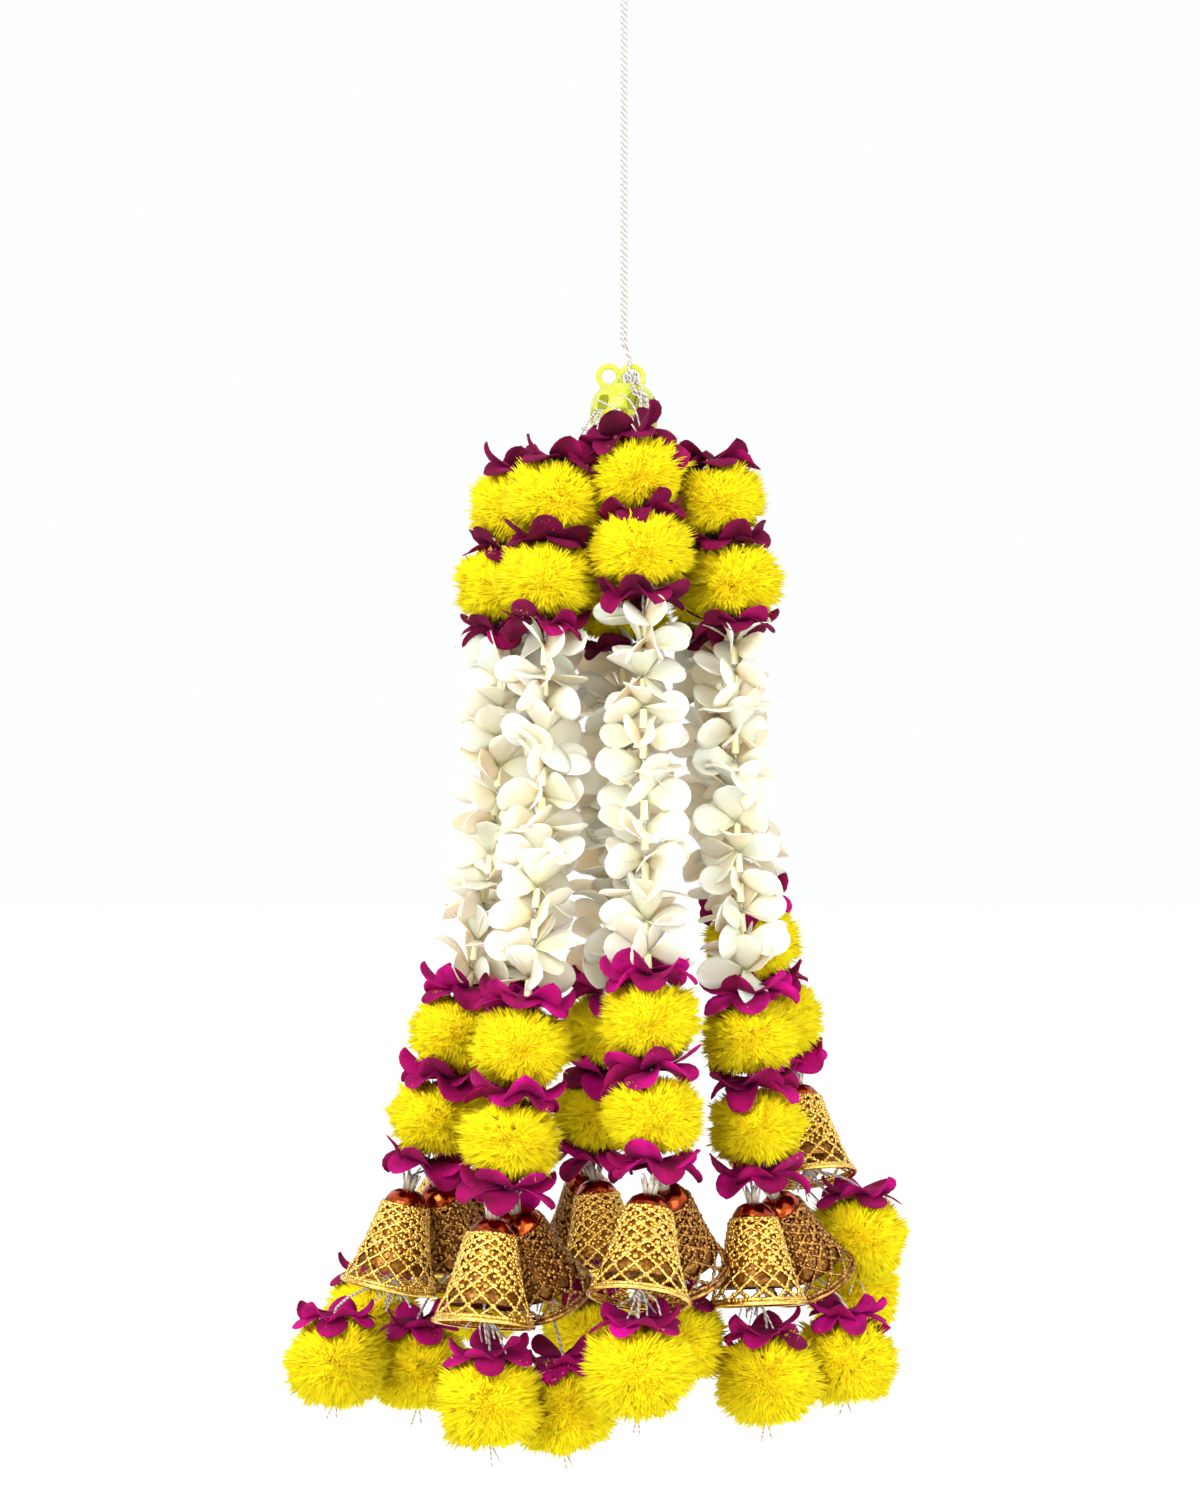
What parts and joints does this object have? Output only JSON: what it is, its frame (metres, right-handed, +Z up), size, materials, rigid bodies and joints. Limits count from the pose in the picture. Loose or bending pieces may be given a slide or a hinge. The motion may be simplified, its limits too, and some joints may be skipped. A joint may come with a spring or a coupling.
{
  "type": "marigold garland",
  "caption": "Hanging garland: strands of cloth marigolds, orchids and white blossoms fall from a small plastic crown on a cord and end in gilt bells with marigold tassels.",
  "frame": {"origin": "the top of the cord's loop, where it goes over a hook", "axes": "+Z up along the cord, -Y to the front, +X to the right as seen from the front"},
  "size_m": [0.3015, 0.2751, 0.7232],
  "materials": {
    "cord_white": "thin silvery white twisted cord, slightly glossy",
    "crown_yellow": "translucent lime yellow moulded plastic",
    "orchid_purple": "magenta velvet cloth petals on a white thread",
    "marigold_yellow": "bright yellow shredded cloth, soft and fluffy",
    "blossom_white": "off-white cloth petals with pale yellow plastic straws",
    "bell_gold": "gilt metallised plastic, granulated, with a pierced lattice and a plain rim"
  },
  "bodies": {
    "root": {"crown": "crown_yellow", "hanging_cord": "cord_white", "cord_knot": "cord_white", "thread_1": "orchid_purple", "upper_marigold_1a": "marigold_yellow", "upper_marigold_1b": "marigold_yellow", "blossom_string_1": "blossom_white", "lower_marigold_1a": "marigold_yellow", "lower_marigold_1b": "marigold_yellow", "bell_1a": "bell_gold", "bell_1b": "bell_gold", "thread_2": "orchid_purple", "upper_marigold_2a": "marigold_yellow", "upper_marigold_2b": "marigold_yellow", "blossom_string_2": "blossom_white", "lower_marigold_2a": "marigold_yellow", "lower_marigold_2b": "marigold_yellow", "bell_2a": "bell_gold", "bell_2b": "bell_gold", "thread_3": "orchid_purple", "upper_marigold_3a": "marigold_yellow", "upper_marigold_3b": "marigold_yellow", "blossom_string_3": "blossom_white", "lower_marigold_3a": "marigold_yellow", "lower_marigold_3b": "marigold_yellow", "bell_3a": "bell_gold", "bell_3b": "bell_gold", "thread_4": "orchid_purple", "upper_marigold_4a": "marigold_yellow", "upper_marigold_4b": "marigold_yellow", "blossom_string_4": "blossom_white", "lower_marigold_4a": "marigold_yellow", "lower_marigold_4b": "marigold_yellow", "bell_4a": "bell_gold", "bell_4b": "bell_gold", "thread_5": "orchid_purple", "upper_marigold_5a": "marigold_yellow", "upper_marigold_5b": "marigold_yellow", "blossom_string_5": "blossom_white", "lower_marigold_5a": "marigold_yellow", "lower_marigold_5b": "marigold_yellow", "bell_5a": "bell_gold", "bell_5b": "bell_gold", "thread_6": "orchid_purple", "upper_marigold_6a": "marigold_yellow", "upper_marigold_6b": "marigold_yellow", "blossom_string_6": "blossom_white", "lower_marigold_6a": "marigold_yellow", "lower_marigold_6b": "marigold_yellow", "bell_6a": "bell_gold", "bell_6b": "bell_gold", "thread_7": "orchid_purple", "upper_marigold_7a": "marigold_yellow", "upper_marigold_7b": "marigold_yellow", "blossom_string_7": "blossom_white", "lower_marigold_7a": "marigold_yellow", "lower_marigold_7b": "marigold_yellow", "bell_7a": "bell_gold", "bell_7b": "bell_gold"}
  },
  "joints": []
}
